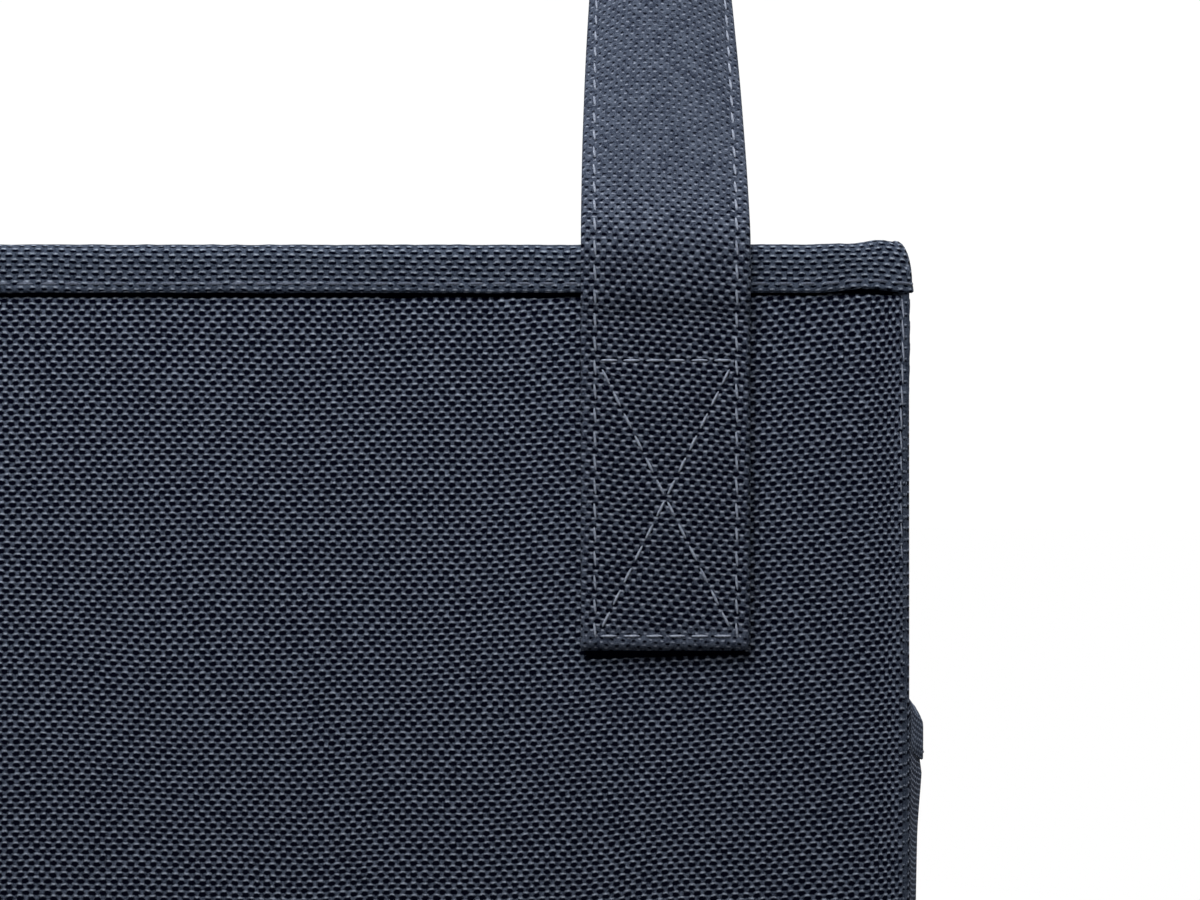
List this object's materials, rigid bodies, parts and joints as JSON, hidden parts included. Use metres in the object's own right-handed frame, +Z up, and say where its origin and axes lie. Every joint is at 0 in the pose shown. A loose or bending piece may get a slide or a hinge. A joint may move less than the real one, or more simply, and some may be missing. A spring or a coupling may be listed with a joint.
{
  "type": "garden tool bag",
  "caption": "Stiffened rectangular fabric tote for hand tools, with inner pocket rows, side pockets, a bound rim and two fold-down webbing handles.",
  "frame": {"origin": "centre of the flat base, on the ground", "axes": "+Z up, -Y towards the front panel, +X towards the bag's right end as seen from the front"},
  "size_m": [0.3252, 0.1874, 0.3734],
  "materials": {
    "outer_fabric": "coarse plain-weave heathered navy polyester",
    "lining_fabric": "fine plain-weave dark polyester",
    "board": "matt polyethylene board",
    "binding_tape": "heathered grey-blue binding tape, finer weave",
    "webbing": "heathered grey-blue woven strap",
    "thread": "light grey-blue polyester sewing thread"
  },
  "bodies": {
    "bag": {"front_panel": "outer_fabric", "front_stiffener": "board", "front_lining": "lining_fabric", "back_panel": "outer_fabric", "back_stiffener": "board", "back_lining": "lining_fabric", "left_panel": "outer_fabric", "left_stiffener": "board", "left_lining": "lining_fabric", "right_panel": "outer_fabric", "right_stiffener": "board", "right_lining": "lining_fabric", "base_panel": "outer_fabric", "base_stiffener": "board", "base_lining": "lining_fabric", "rim_binding": "binding_tape", "base_seam": "binding_tape", "front_left_corner_seam": "binding_tape", "front_left_strap_end": "webbing", "front_left_box_stitch": "thread", "front_right_corner_seam": "binding_tape", "front_right_strap_end": "webbing", "front_right_box_stitch": "thread", "back_left_corner_seam": "binding_tape", "back_left_strap_end": "webbing", "back_left_box_stitch": "thread", "back_right_corner_seam": "binding_tape", "back_right_strap_end": "webbing", "back_right_box_stitch": "thread", "left_side_pocket": "outer_fabric", "left_pocket_binding": "binding_tape", "right_side_pocket": "outer_fabric", "right_pocket_binding": "binding_tape", "front_inner_pockets": "lining_fabric", "front_inner_pocket_binding": "binding_tape", "back_inner_pockets": "lining_fabric", "back_inner_pocket_binding": "binding_tape"},
    "front_handle": {"front_handle": "webbing"},
    "back_handle": {"back_handle": "webbing"}
  },
  "joints": [
    {"name": "front_handle_fold", "type": "hinge", "parent": "bag", "child": "front_handle", "pos_m": [0, -0.0985, 0.24], "axis": [1, 0, 0], "range_deg": [0, 210]},
    {"name": "back_handle_fold", "type": "hinge", "parent": "bag", "child": "back_handle", "pos_m": [0, 0.0985, 0.24], "axis": [-1, 0, 0], "range_deg": [0, 210]}
  ]
}
